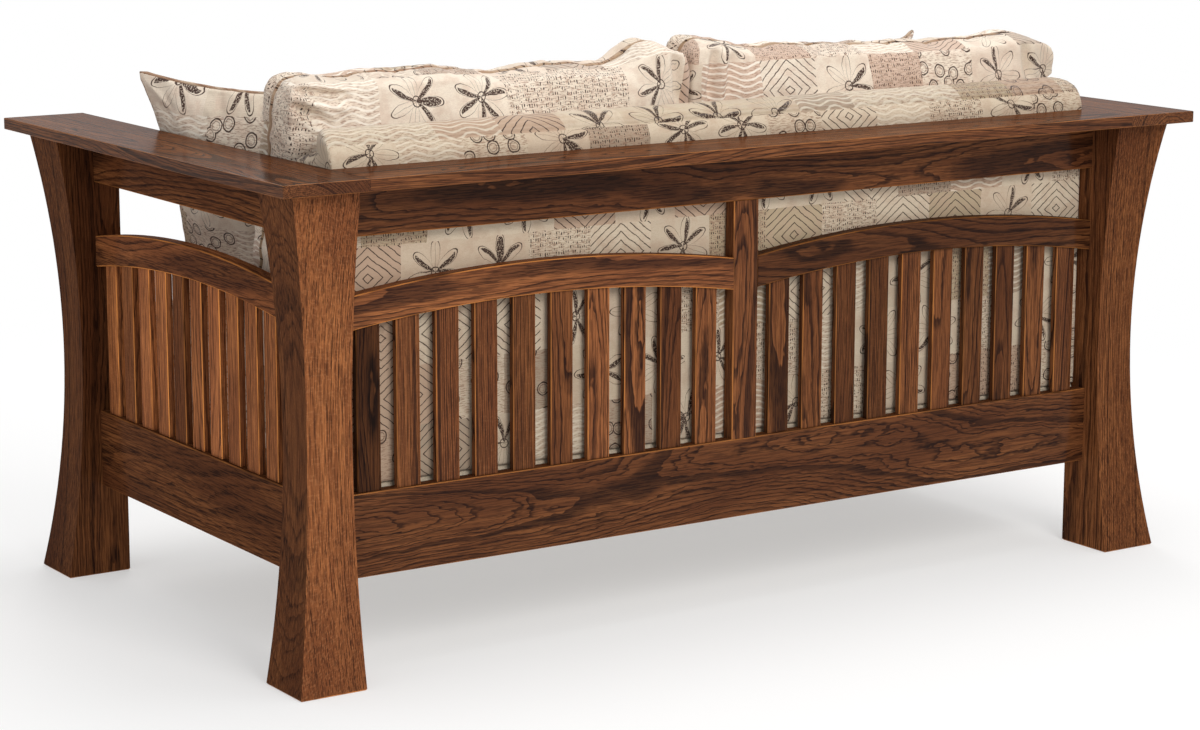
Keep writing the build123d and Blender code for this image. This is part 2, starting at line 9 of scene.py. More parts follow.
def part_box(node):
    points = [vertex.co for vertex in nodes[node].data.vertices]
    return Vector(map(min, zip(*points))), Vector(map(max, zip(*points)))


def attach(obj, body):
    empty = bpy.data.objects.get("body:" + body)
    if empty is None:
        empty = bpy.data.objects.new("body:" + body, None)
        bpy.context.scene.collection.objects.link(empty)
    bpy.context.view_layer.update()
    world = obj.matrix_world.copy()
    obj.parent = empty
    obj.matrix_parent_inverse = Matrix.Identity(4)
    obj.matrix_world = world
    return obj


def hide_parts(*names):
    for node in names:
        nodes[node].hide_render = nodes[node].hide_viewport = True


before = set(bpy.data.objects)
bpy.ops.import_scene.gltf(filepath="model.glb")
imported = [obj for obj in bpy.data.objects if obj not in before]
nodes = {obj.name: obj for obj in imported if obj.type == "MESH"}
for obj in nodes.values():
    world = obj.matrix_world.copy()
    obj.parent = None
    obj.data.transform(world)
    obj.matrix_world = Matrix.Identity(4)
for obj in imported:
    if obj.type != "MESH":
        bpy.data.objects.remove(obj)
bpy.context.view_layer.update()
print("frame loaded:", len(nodes), "nodes")

scene = bpy.context.scene
random.seed(7)


def add(tree, kind, inputs=None, **props):
    made = tree.nodes.new("ShaderNode" + kind)
    for key, value in props.items():
        setattr(made, key, value)
    for key, value in (inputs or {}).items():
        if isinstance(value, bpy.types.NodeSocket):
            tree.links.new(value, made.inputs[key])
        else:
            made.inputs[key].default_value = value
    return made


def calc(tree, operation, a, b=0.0, c=0.0):
    return add(tree, "Math", {0: a, 1: b, 2: c}, operation=operation).outputs[0]


def plus(tree, a, b):
    return calc(tree, "ADD", a, b)


def minus(tree, a, b):
    return calc(tree, "SUBTRACT", a, b)


def times(tree, a, b):
    return calc(tree, "MULTIPLY", a, b)


def larger(tree, a, b):
    return calc(tree, "MAXIMUM", a, b)


def shifted(tree, a, b, operation="ADD"):
    return add(tree, "VectorMath", {0: a, 1: b}, operation=operation).outputs[0]


def scaled(tree, vector, factor):
    return add(tree, "VectorMath", {0: vector, "Scale": factor}, operation="SCALE").outputs[0]


def chanceOf(tree, value):
    return add(tree, "TexWhiteNoise", {"W": value}, noise_dimensions="1D").outputs


def mixed(tree, factor, a, b, how="MIX"):
    return add(tree, "Mix", {0: factor, 6: a, 7: b}, data_type="RGBA", blend_type=how).outputs[2]


def ramp(tree, value, low, high, start=0.0, end=1.0):
    inputs = {0: value, 1: low, 2: high, 3: start, 4: end}
    return add(tree, "MapRange", inputs, interpolation_type="SMOOTHSTEP").outputs[0]


def stretched(tree, vector, size):
    return add(tree, "VectorMath", {0: vector, 1: size}, operation="MULTIPLY").outputs[0]


def noise(tree, vector, scale=1.0, detail=2.0, rough=0.5):
    return add(tree, "TexNoise", {"Vector": vector, "Scale": scale, "Detail": detail, "Roughness": rough})


def newMaterial(name):
    material = bpy.data.materials.new(name)
    material.use_nodes = True
    material.node_tree.nodes.clear()
    return material, material.node_tree


def newGroup(name, sockets, result):
    group = bpy.data.node_groups.new(name, "ShaderNodeTree")
    for label, kind, value in sockets:
        made = group.interface.new_socket(label, in_out="INPUT", socket_type="NodeSocket" + kind)
        if kind != "Vector":
            made.default_value = value
    for label, kind in result:
        group.interface.new_socket(label, in_out="OUTPUT", socket_type="NodeSocket" + kind)
    return group, group.nodes.new("NodeGroupInput").outputs, group.nodes.new("NodeGroupOutput").inputs


oakLook = {
    "light": (0.230, 0.084, 0.029, 1),
    "middle": (0.115, 0.038, 0.0145, 1),
    "dark": (0.016, 0.0062, 0.0042, 1),
    "fleck": (0.36, 0.16, 0.07, 1),
    # colour of the painted highlight along the arrises
    "edgeHighlight": (0.46, 0.175, 0.045, 1),
    "ring": 0.0037,  # metres from one year ring to the next
    "wander": 0.045,  # how far the rings swing along a board
    "curl": 0.0045,
    "ringUneven": 2.4,
    "fleckStrength": 0.35,
    "poreStrength": 0.80,
}


# along X the noise is stretched, as the grain is
def oakGroup():
    tree, given, out = newGroup(
        "oakGrain",
        [("Vector", "Vector", None), ("Tone", "Float", 1.0), ("Rays", "Float", 0.3),
         ("Wander", "Float", 1.0), ("Lines", "Float", 0.8), ("Curl", "Float", 1.0)],
        [("Color", "Color"), ("Rough", "Float"), ("Height", "Float")],
    )
    place = given["Vector"]
    half = (0.5, 0.5, 0.5)
    slow = noise(tree, stretched(tree, place, (1.1, 3.2, 3.2)), detail=1.5).outputs["Color"]
    fast = noise(tree, stretched(tree, place, (12, 40, 40)), detail=3, rough=0.6).outputs["Color"]
    swing = oakLook["wander"] * 2
    bend = stretched(tree, shifted(tree, slow, half, "SUBTRACT"), (0, swing, swing))
    bend = scaled(tree, bend, given["Wander"])
    curl = stretched(tree, shifted(tree, fast, half, "SUBTRACT"), (0, oakLook["curl"], oakLook["curl"]))
    curl = scaled(tree, curl, given["Curl"])
    moved = shifted(tree, shifted(tree, place, bend), curl)
    part = add(tree, "SeparateXYZ", {0: moved}).outputs
    squares = plus(tree, times(tree, part["Y"], part["Y"]), times(tree, part["Z"], part["Z"]))
    radius = calc(tree, "SQRT", squares)
    years = calc(tree, "DIVIDE", radius, oakLook["ring"])
    uneven = add(tree, "TexNoise", {"W": years, "Scale": 0.4, "Detail": 1.0}, noise_dimensions="1D")
    years = plus(tree, years, times(tree, uneven.outputs["Fac"], oakLook["ringUneven"]))
    year = calc(tree, "FRACT", years)
    early = times(tree, ramp(tree, year, 0.0, 0.06), ramp(tree, year, 0.48, 0.09))

    fibre = noise(tree, stretched(tree, place, (8, 310, 310)), detail=3, rough=0.62).outputs["Fac"]
    pore = noise(tree, stretched(tree, place, (24, 540, 540)), detail=2, rough=0.6).outputs["Fac"]
    poresHere = calc(tree, "MULTIPLY_ADD", early, 0.45, 0.55)
    pores = times(tree, ramp(tree, pore, 0.49, 0.57), poresHere)
    cloud = noise(tree, stretched(tree, place, (2.2, 11, 11)), detail=3).outputs["Fac"]

    angle = calc(tree, "ARCTAN2", part["Z"], part["Y"])
    rayInputs = {0: part["X"], 1: times(tree, angle, 14.0), 2: radius}
    rayPlace = add(tree, "CombineXYZ", rayInputs).outputs[0]
    ray = noise(tree, stretched(tree, rayPlace, (260, 22, 60)), detail=1).outputs["Fac"]
    rays = times(tree, ramp(tree, ray, 0.54, 0.64), given["Rays"])

    base = mixed(tree, ramp(tree, cloud, 0.32, 0.70), oakLook["light"], oakLook["middle"])
    base = mixed(tree, ramp(tree, fibre, 0.42, 0.60, 0.0, 0.85), base, oakLook["middle"])
    base = mixed(tree, times(tree, rays, oakLook["fleckStrength"]), base, oakLook["fleck"])
    base = mixed(tree, times(tree, early, given["Lines"]), base, oakLook["dark"])
    base = mixed(tree, times(tree, pores, oakLook["poreStrength"]), base, oakLook["dark"])

    # painted highlight along the arrises, where the surface turns from one face to the next, broken into
    # patches by noise
    normal = add(tree, "TexCoord").outputs["Normal"]
    size = add(tree, "VectorMath", {0: normal}, operation="ABSOLUTE").outputs[0]
    size = add(tree, "SeparateXYZ", {0: size}).outputs
    most = larger(tree, size["X"], larger(tree, size["Y"], size["Z"]))
    highlightPatches = noise(tree, stretched(tree, place, (9, 40, 40)), detail=2).outputs["Fac"]
    edge = times(tree, ramp(tree, most, 0.93, 0.80), ramp(tree, highlightPatches, 0.30, 0.62, 0.15, 0.8))
    base = mixed(tree, edge, base, oakLook["edgeHighlight"])

    tone = add(tree, "CombineColor", {0: given["Tone"], 1: given["Tone"], 2: given["Tone"]}).outputs[0]
    tree.links.new(mixed(tree, 1.0, base, tone, "MULTIPLY"), out["Color"])
    rough = plus(tree, times(tree, cloud, 0.10), times(tree, pores, 0.25))
    tree.links.new(rough, out["Rough"])
    dips = calc(tree, "MULTIPLY_ADD", early, 0.25, times(tree, pores, 0.6))
    tree.links.new(minus(tree, 1.0, dips), out["Height"])
    return tree


oakTree = oakGroup()
grainOrder = {"X": ("X", "Y", "Z"), "Y": ("Y", "X", "Z"), "Z": ("Z", "X", "Y")}


# the grain runs along axis, and pith is where the tree's heart lies
def oak(name, axis, pith, tone=1.0, rays=0.2, wander=1.0, coat=0.12, lines=0.8, curl=1.0,
        pitch=None, start=0.0, shadedSide=None):
    material, tree = newMaterial(name)
    place = add(tree, "TexCoord").outputs["Object"]
    part = add(tree, "SeparateXYZ", {0: place}).outputs
    order = grainOrder[axis]
    turned = add(tree, "CombineXYZ", {0: part[order[0]], 1: part[order[1]], 2: part[order[2]]}).outputs[0]
    turned = shifted(tree, turned, pith, "SUBTRACT")
    toneValue = tone
    if pitch:  # each slat in a row has grain and tone of its own
        count = calc(tree, "FLOOR", calc(tree, "DIVIDE", minus(tree, part["Y"], start), pitch))
        chance = chanceOf(tree, count)
        turned = shifted(tree, turned, stretched(tree, chance["Color"], (2.0, 0.05, 0.09)))
        toneValue = times(tree, tone, calc(tree, "MULTIPLY_ADD", chance["Value"], 0.7, 0.65))
    if shadedSide:  # the face a post shows to the side is painted darker, as shade
        aside = times(tree, minus(tree, part["X"], shadedSide[0]), shadedSide[2])
        behind = times(tree, minus(tree, part["Y"], shadedSide[1]), shadedSide[3])
        onShadedSide = calc(tree, "GREATER_THAN", minus(tree, aside, behind), 0.0)
        toneValue = calc(tree, "MULTIPLY_ADD", onShadedSide, tone * (shadedSide[4] - 1), tone)
    grain = add(tree, "Group", node_tree=oakTree)
    tree.links.new(turned, grain.inputs["Vector"])
    if isinstance(toneValue, float):
        grain.inputs["Tone"].default_value = toneValue
    else:
        tree.links.new(toneValue, grain.inputs["Tone"])
    grain.inputs["Rays"].default_value = rays
    grain.inputs["Wander"].default_value = wander
    grain.inputs["Lines"].default_value = lines
    grain.inputs["Curl"].default_value = curl
    bump = add(tree, "Bump", {"Strength": 0.35, "Distance": 0.0006, "Height": grain.outputs["Height"]})
    shader = add(tree, "BsdfPrincipled", {
        "Base Color": grain.outputs["Color"],
        "Roughness": plus(tree, grain.outputs["Rough"], 0.34),
        "Normal": bump.outputs[0],
    })
    shader.inputs["Coat Weight"].default_value = coat
    shader.inputs["Coat Roughness"].default_value = 0.16
    shader.inputs["Specular IOR Level"].default_value = 0.0
    end = add(tree, "OutputMaterial")
    tree.links.new(shader.outputs[0], end.inputs[0])
    return material


def finish(node, material):
    mesh = nodes[node].data
    if mesh.materials:
        for slot in nodes[node].material_slots:
            slot.material = material
    else:
        mesh.materials.append(material)


def middle(node):
    low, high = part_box(node)
    return (low + high) / 2


# for each board the axis of its grain, where its heart lies from its middle, and its tone
boards = {
    "back_cap": ("X", (0.3, 0.02, -0.055), 0.95),
    "back_top_rail": ("X", (0.9, -0.06, -0.012), 0.88),
    "back_arch_rail_left": ("X", (0.2, -0.055, 0.015), 1.45),
    "back_arch_rail_right": ("X", (0.7, -0.07, -0.02), 0.6),
    "back_bottom_rail": ("X", (0.35, -0.048, 0.004), 0.80),
    "front_rail": ("X", (1.35, 0.055, 0.01), 0.85),
    "arm_cap_left": ("Y", (0.1, 0.03, -0.06), 0.85),
    "arm_cap_right": ("Y", (0.8, -0.02, -0.06), 0.85),
    "side_top_rail_left": ("Y", (0.4, -0.06, 0.01), 0.9),
    "side_top_rail_right": ("Y", (1.1, 0.06, 0.0), 0.8),
    "side_arch_rail_left": ("Y", (0.6, -0.06, -0.01), 1.65),
    "side_arch_rail_right": ("Y", (1.6, 0.06, 0.01), 1.1),
    "side_bottom_rail_left": ("Y", (0.8, -0.055, 0.01), 0.85),
    "side_bottom_rail_right": ("Y", (1.9, 0.055, -0.01), 0.75),
    "back_stile": ("Z", (0.3, 0.01, -0.07), 1.1),
}

# how wavy the figure of a rail is, as curl and wander
wavy = {"back_bottom_rail": (2.3, 1.6), "back_top_rail": (1.6, 1.0)}

# heart from the middle, tone, rays, lines, which way the two shown faces look, tone of the side face,
# which is painted darker as shade
posts = {
    "post_rear_left": ((0.0, -0.21, -0.01), 1.6, 0.45, 0.35, (1, 1), 0.52),
    "post_front_left": ((0.5, -0.03, 0.12), 0.95, 0.3, 0.6, (1, -1), 0.8),
    "post_rear_right": ((1.1, 0.20, -0.05), 1.0, 0.5, 0.6, (-1, 1), 0.8),
    "post_front_right": ((1.7, 0.13, -0.02), 0.95, 0.3, 0.6, (-1, -1), 0.8),
}


def paintBoards():
    for node, (axis, shift, tone) in boards.items():
        centre = middle(node)
        turned = [getattr(centre, part.lower()) for part in grainOrder[axis]]
        heart = (turned[0] + shift[0], turned[1] + shift[1], turned[2] + shift[2])
        coat = 0.22 if "cap" in node else 0.04 if node.startswith("side") else 0.16
        curl, wander = wavy.get(node, (0.8, 1.0))
        lines = 0.35 if node.startswith("side_bottom") else 0.65 if node.startswith("side") else 0.75
        finish(node, oak(node + "_oak", axis, heart, tone, rays=0.15, wander=wander, coat=coat,
                         lines=lines, curl=curl))


def paintPosts():
    for node, (shift, tone, rays, lines, faces, sideShade) in posts.items():
        centre = middle(node)
        heart = (centre.z + shift[0], centre.x + shift[1], centre.y + shift[2])
        finish(node, oak(node + "_oak", "Z", heart, tone, rays=rays, wander=0.35, coat=0.05, lines=lines,
                         shadedSide=(centre.x, centre.y, faces[0], faces[1], sideShade)))


slatTones = (0.75, 1.45)
bayTone = {"left": 1.12, "right": 0.8}
lastSlatPast, shadedSlatTone = 0.68, 0.42  # the slat beside the rear left post is painted dark, as the shade it stands in


def paintSlats():
    for side in ("left", "right"):
        for count in range(1, 11):
            node = "back_slat_%s_%02d" % (side, count)
            centre = middle(node)
            flat = random.random() < 0.6  # sawn flat, with the heart behind the face, or else quartered
            back = random.uniform(0.03, 0.08) if flat else random.uniform(0.0, 0.02)
            aside = random.uniform(-0.02, 0.02) if flat else random.uniform(0.07, 0.12)
            heart = (centre.z + random.uniform(0, 3), centre.x + aside, centre.y - back)
            # past that place the slat's tone is painted shade
            tone = random.uniform(*slatTones) * bayTone[side] if centre.x <= lastSlatPast else shadedSlatTone
            lines = random.uniform(0.7, 0.95)
            finish(node, oak(node + "_oak", "Z", heart, tone, rays=0.25, wander=0.6, lines=lines))
        node = "side_slats_" + side
        low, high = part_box(node)
        pitch = (high.y - low.y) / 10.6  # eleven slats, each about 0.6 of the pitch wide
        heart = (0.0, (low.x + high.x) / 2 - 0.06, 0.1)
        finish(node, oak(node + "_oak", "Z", heart, 2.05, rays=0.3, wander=0.6, coat=0.04, lines=0.6,
                         pitch=pitch, start=low.y - 0.2 * pitch))


plain = {
    "hidden_hardwood": ((0.42, 0.29, 0.17, 1), (0.30, 0.19, 0.10, 1), (5, 60, 60), 0.55),
    "plywood": ((0.50, 0.36, 0.21, 1), (0.36, 0.24, 0.13, 1), (4, 30, 30), 0.6),
    "webbing": ((0.10, 0.085, 0.06, 1), (0.045, 0.04, 0.03, 1), (500, 500, 60), 0.9),
}


def plainWood(name):
    light, dark, size, rough = plain[name]
    material, tree = newMaterial(name)
    place = add(tree, "TexCoord").outputs["Object"]
    grain = noise(tree, stretched(tree, place, size), detail=3).outputs["Fac"]
    color = mixed(tree, ramp(tree, grain, 0.35, 0.65), light, dark)
    bump = add(tree, "Bump", {"Strength": 0.25, "Distance": 0.0005, "Height": grain})
    shader = add(tree, "BsdfPrincipled", {"Base Color": color, "Normal": bump.outputs[0]})
    shader.inputs["Roughness"].default_value = rough
    end = add(tree, "OutputMaterial")
    tree.links.new(shader.outputs[0], end.inputs[0])
    return material


def steel():
    material, tree = newMaterial("zincScrew")
    place = add(tree, "TexCoord").outputs["Object"]
    grain = noise(tree, place, 300, 2).outputs["Fac"]
    shader = add(tree, "BsdfPrincipled", {"Roughness": ramp(tree, grain, 0.3, 0.7, 0.28, 0.45)})
    shader.inputs["Base Color"].default_value = (0.62, 0.58, 0.46, 1)
    shader.inputs["Metallic"].default_value = 1.0
    end = add(tree, "OutputMaterial")
    tree.links.new(shader.outputs[0], end.inputs[0])
    return material


def paintInside():
    hardwood, ply, strap = [plainWood(name) for name in ("hidden_hardwood", "plywood", "webbing")]
    screw = steel()
    for node in nodes:
        if node.startswith(("side_cleat", "rear_cleat", "corner_blocks", "deck_front_bar", "deck_rear_bar",
                            "deck_cross_bars", "cap_dowels")):
            finish(node, hardwood)
        elif node == "back_panel_board":
            finish(node, ply)
        elif node == "seat_webbing":
            finish(node, strap)
        elif node == "cleat_screws":
            finish(node, screw)


paintBoards()
paintPosts()
paintSlats()
paintInside()
print("oak done")


clothLook = {
    "cream": (0.80, 0.70, 0.58, 1),
    "rose": (0.62, 0.46, 0.36, 1),
    "taupe": (0.50, 0.41, 0.33, 1),
    "khaki": (0.57, 0.47, 0.34, 1),
    "clay": (0.34, 0.21, 0.15, 1),
    "ink": (0.050, 0.024, 0.018, 1),
    "combed": (0.90, 0.84, 0.74, 1),
    "blockWide": 0.112,
    "blockHigh": 0.092,
    "flowers": (0.0, 0.34),  # each motif's share of the blocks
    "diamonds": (0.34, 0.48),
    "waves": (0.48, 0.64),
    "ticks": (0.64, 0.86),
    "pebbles": (0.86, 1.1),
    "petalTurns": 3.5,
    "petalLong": 0.041,
    "flowerEye": 0.007,
    "diamondStep": 0.017,
    "waveStep": 0.0095,
    "tickWide": 0.0042,
    "tickHigh": 0.0075,
    "pebbleScale": 30.0,
}


# 1 where value is near 0, for a drawn line of that half width
def lineAt(tree, value, width):
    return ramp(tree, calc(tree, "ABSOLUTE", value), width, width * 0.45)


# 1 in the blocks whose draw falls within a motif's share
def inShare(tree, pick, share):
    return times(tree, calc(tree, "GREATER_THAN", pick, share[0]), calc(tree, "LESS_THAN", pick, share[1]))


# star flowers with hatched petals, one to a block
def flowerInk(tree, place, localX, localY, column, drawn):
    offset = times(tree, minus(tree, drawn[0], 0.5), 0.02)
    x = plus(tree, localX, offset)
    reach = calc(tree, "SQRT", plus(tree, times(tree, x, x), times(tree, localY, localY)))
    turn = plus(tree, calc(tree, "ARCTAN2", localY, x), times(tree, drawn[1], 6.0))
    spread = times(tree, turn, clothLook["petalTurns"])
    petal = calc(tree, "ABSOLUTE", calc(tree, "COSINE", spread))
    blade = calc(tree, "POWER", petal, 1.1)
    limit = calc(tree, "MULTIPLY_ADD", blade, clothLook["petalLong"], clothLook["flowerEye"])
    outline = lineAt(tree, minus(tree, reach, limit), 0.0014)
    inside = calc(tree, "LESS_THAN", reach, minus(tree, limit, 0.004))
    sector = calc(tree, "FLOOR", calc(tree, "DIVIDE", spread, math.pi))
    chance = chanceOf(tree, plus(tree, sector, times(tree, column, 7.0)))["Value"]
    filled = calc(tree, "GREATER_THAN", chance, 0.62)
    scratches = noise(tree, stretched(tree, place, (420, 420, 0)), detail=2).outputs["Fac"]
    scratch = ramp(tree, scratches, 0.36, 0.52, 0.45, 1.0)
    filled = times(tree, times(tree, filled, inside), scratch)
    vein = lineAt(tree, times(tree, calc(tree, "SINE", spread), reach), 0.0016)
    vein = times(tree, times(tree, vein, inside), 0.6)
    eye = lineAt(tree, minus(tree, reach, clothLook["flowerEye"]), 0.0012)
    return larger(tree, larger(tree, outline, filled), larger(tree, vein, eye))


def diamondInk(tree, localX, localY):
    upright = times(tree, calc(tree, "ABSOLUTE", localY), 1.3)
    diamond = plus(tree, calc(tree, "ABSOLUTE", localX), upright)
    nest = calc(tree, "FRACT", calc(tree, "DIVIDE", diamond, clothLook["diamondStep"]))
    return lineAt(tree, minus(tree, nest, 0.5), 0.10)


def waveInk(tree, part):
    swing = calc(tree, "SINE", times(tree, part["X"], 110.0))
    wave = calc(tree, "MULTIPLY_ADD", swing, 0.0035, part["Y"])
    step = calc(tree, "FRACT", calc(tree, "DIVIDE", wave, clothLook["waveStep"]))
    return lineAt(tree, minus(tree, step, 0.5), 0.22)


def tickInk(tree, place, part):
    x = calc(tree, "FRACT", calc(tree, "DIVIDE", part["X"], clothLook["tickWide"]))
    y = calc(tree, "FRACT", calc(tree, "DIVIDE", part["Y"], clothLook["tickHigh"]))
    tick = times(tree, calc(tree, "LESS_THAN", x, 0.42), calc(tree, "LESS_THAN", y, 0.7))
    broken = noise(tree, place, 170, 1).outputs["Fac"]
    return times(tree, tick, ramp(tree, broken, 0.48, 0.56))


# pebbles with a double outline
def pebbleInk(tree, place):
    inputs = {"Vector": place, "Scale": clothLook["pebbleScale"], "Randomness": 0.75}
    pebble = add(tree, "TexVoronoi", inputs, voronoi_dimensions="2D").outputs
    far = minus(tree, pebble["Distance"], 0.30)
    inner = lineAt(tree, plus(tree, far, 0.11), 0.03)
    return larger(tree, lineAt(tree, far, 0.045), times(tree, inner, 0.6))


def clothGroup():
    tree, given, out = newGroup(
        "printedCloth", [("Vector", "Vector", None), ("Seed", "Float", 0.0)],
        [("Color", "Color"), ("Height", "Float")],
    )
    wide, high = clothLook["blockWide"], clothLook["blockHigh"]
    shiver = noise(tree, given["Vector"], 60, 2).outputs["Color"]
    shiver = stretched(tree, shifted(tree, shiver, (0.5, 0.5, 0.5), "SUBTRACT"), (0.005, 0.005, 0))
    place = shifted(tree, given["Vector"], shiver)
    part = add(tree, "SeparateXYZ", {0: place}).outputs
    down = calc(tree, "DIVIDE", part["Y"], high)
    row = calc(tree, "FLOOR", down)
    rowChance = chanceOf(tree, plus(tree, row, given["Seed"]))["Value"]
    across = plus(tree, calc(tree, "DIVIDE", part["X"], wide), times(tree, rowChance, 3.0))
    column = calc(tree, "FLOOR", across)
    cell = add(tree, "CombineXYZ", {0: column, 1: row, 2: given["Seed"]}).outputs[0]
    chance = add(tree, "TexWhiteNoise", {"Vector": cell}, noise_dimensions="3D").outputs
    pick = chance["Value"]
    drawn = add(tree, "SeparateColor", {0: chance["Color"]}).outputs
    localX = times(tree, minus(tree, calc(tree, "FRACT", across), 0.5), wide)
    localY = times(tree, minus(tree, calc(tree, "FRACT", down), 0.5), high)

    inFlowers = inShare(tree, pick, clothLook["flowers"])
    flower = times(tree, flowerInk(tree, place, localX, localY, column, drawn), inFlowers)
    diamonds = times(tree, diamondInk(tree, localX, localY), inShare(tree, pick, clothLook["diamonds"]))
    waves = times(tree, waveInk(tree, part), inShare(tree, pick, clothLook["waves"]))
    ticks = times(tree, tickInk(tree, place, part), inShare(tree, pick, clothLook["ticks"]))
    rings = times(tree, pebbleInk(tree, place), inShare(tree, pick, clothLook["pebbles"]))
    ink = larger(tree, larger(tree, flower, diamonds), larger(tree, ticks, rings))
    dry = noise(tree, place, 420, 2).outputs["Fac"]
    ink = times(tree, ink, ramp(tree, dry, 0.25, 0.50, 0.60, 1.0))

    # grounds of the blocks, then dapple, specks and a drawn hatch
    ground = clothLook["cream"]
    for above, color in ((0.52, "rose"), (0.72, "taupe"), (0.88, "khaki")):
        ground = mixed(tree, calc(tree, "GREATER_THAN", drawn[2], above), ground, clothLook[color])
    ground = mixed(tree, times(tree, inFlowers, 0.7), ground, clothLook["cream"])
    dapple = noise(tree, place, 34, 3, 0.65).outputs["Fac"]
    ground = mixed(tree, ramp(tree, dapple, 0.42, 0.66, 0.0, 0.5), ground, clothLook["rose"])
    speck = noise(tree, place, 620, 2, 0.7).outputs["Fac"]
    ground = mixed(tree, ramp(tree, speck, 0.48, 0.66, 0.0, 0.35), ground, clothLook["taupe"])
    hatch = noise(tree, stretched(tree, place, (95, 620, 0)), detail=2, rough=0.6).outputs["Fac"]
    hatch = times(tree, ramp(tree, hatch, 0.50, 0.60), ramp(tree, drawn[0], 0.42, 0.55, 0.08, 0.75))
    ground = mixed(tree, hatch, ground, clothLook["clay"])
    ground = mixed(tree, times(tree, waves, 0.75), ground, clothLook["combed"])
    tree.links.new(mixed(tree, ink, ground, clothLook["ink"]), out["Color"])

    warp = calc(tree, "SINE", times(tree, part["X"], 2900.0))
    weft = calc(tree, "SINE", times(tree, part["Y"], 2700.0))
    tree.links.new(calc(tree, "MULTIPLY_ADD", plus(tree, warp, weft), 0.18, speck), out["Height"])
    return tree


clothTree = clothGroup()


def printedCloth(name, seed=0.0, shift=(0.0, 0.0), shade=(1.0, 1.0, 1.0)):
    material, tree = newMaterial(name)
    place = add(tree, "TexCoord").outputs["UV"]
    place = shifted(tree, place, (shift[0], shift[1], 0))
    cloth = add(tree, "Group", node_tree=clothTree)
    tree.links.new(place, cloth.inputs["Vector"])
    cloth.inputs["Seed"].default_value = seed
    bump = add(tree, "Bump", {"Strength": 0.3, "Distance": 0.0006, "Height": cloth.outputs["Height"]})
    # shade multiplies the print's colour; for the panel it is painted shade, and for the cords it is
    # partly painted shade
    shaded = mixed(tree, 1.0, cloth.outputs["Color"], (*shade, 1), "MULTIPLY")
    shader = add(tree, "BsdfPrincipled", {"Base Color": shaded, "Normal": bump.outputs[0]})
    shader.inputs["Roughness"].default_value = 0.92
    shader.inputs["Specular IOR Level"].default_value = 0.2
    shader.inputs["Sheen Weight"].default_value = 0.15
    shader.inputs["Sheen Roughness"].default_value = 0.5
    end = add(tree, "OutputMaterial")
    tree.links.new(shader.outputs[0], end.inputs[0])
    return material


def deckCloth():
    material, tree = newMaterial("deckCloth")
    place = add(tree, "TexCoord").outputs["Object"]
    yarn = noise(tree, stretched(tree, place, (900, 300, 900)), detail=2).outputs["Fac"]
    color = mixed(tree, ramp(tree, yarn, 0.35, 0.65), (0.62, 0.53, 0.41, 1), (0.46, 0.38, 0.28, 1))
    bump = add(tree, "Bump", {"Strength": 0.3, "Distance": 0.0006, "Height": yarn})
    shader = add(tree, "BsdfPrincipled", {"Base Color": color, "Normal": bump.outputs[0]})
    shader.inputs["Roughness"].default_value = 0.95
    shader.inputs["Sheen Weight"].default_value = 0.1
    end = add(tree, "OutputMaterial")
    tree.links.new(shader.outputs[0], end.inputs[0])
    return material


def only(obj):
    bpy.ops.object.select_all(action="DESELECT")
    obj.select_set(True)
    bpy.context.view_layer.objects.active = obj


def applyAll(obj):
    only(obj)
    for modifier in list(obj.modifiers):
        bpy.ops.object.modifier_apply(modifier=modifier.name)


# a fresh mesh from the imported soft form, remeshed evenly
def copyOf(node, name, voxel):
    obj = bpy.data.objects.new(name, nodes[node].data.copy())
    scene.collection.objects.link(obj)
    obj.data.materials.clear()
    only(obj)
    bpy.ops.object.mode_set(mode="EDIT")
    bpy.ops.mesh.select_all(action="SELECT")
    bpy.ops.mesh.remove_doubles(threshold=0.00001)
    bpy.ops.mesh.normals_make_consistent(inside=False)
    bpy.ops.object.mode_set(mode="OBJECT")
    obj.data.remesh_voxel_size = voxel
    obj.data.remesh_voxel_adaptivity = 0.0
    bpy.ops.object.voxel_remesh()
    return obj


# a piece's own frame: across, up and depth as columns
def axes(origin, across, up):
    across, up = Vector(across).normalized(), Vector(up).normalized()
    depth = across.cross(up)
    made = Matrix((across, up, depth)).transposed().to_4x4()
    made.translation = Vector(origin)
    return made


# UV in metres, one panel for each face, rolled over its rim, and the boxing between two seams
def panelUv(obj, own, edges, rims=None, shifts=(0.0, 0.37)):
    layer = obj.data.uv_layers.new(name="cloth") if not obj.data.uv_layers else obj.data.uv_layers[0]
    rims = rims or edges
    back = own.inverted()
    spin = back.to_3x3()
    flat = [back @ vertex.co for vertex in obj.data.vertices]
    outward = [(spin @ vertex.normal) * Vector((1, 1, 0)) for vertex in obj.data.vertices]
    for face in obj.data.polygons:
        centre = back @ face.center
        normal = spin @ face.normal
        upper = centre.z > edges[1] - 0.0005 or normal.z > 0.8
        lower = centre.z < edges[0] + 0.0005 or normal.z < -0.8
        for loop in face.loop_indices:
            index = obj.data.loops[loop].vertex_index
            point = flat[index]
            if upper or lower:
                over = max(0.0, rims[1] - point.z) if upper else max(0.0, point.z - rims[0])
                point = point + outward[index] * over
                spot = (point.x + (0.0 if upper else 1.31), point.y + shifts[0])
            elif abs(normal.x) > abs(normal.y):
                spot = (point.y + 0.77 + shifts[1], point.z)
            else:
                spot = (point.x + 0.21, point.z + shifts[1])
            layer.data[loop].uv = spot


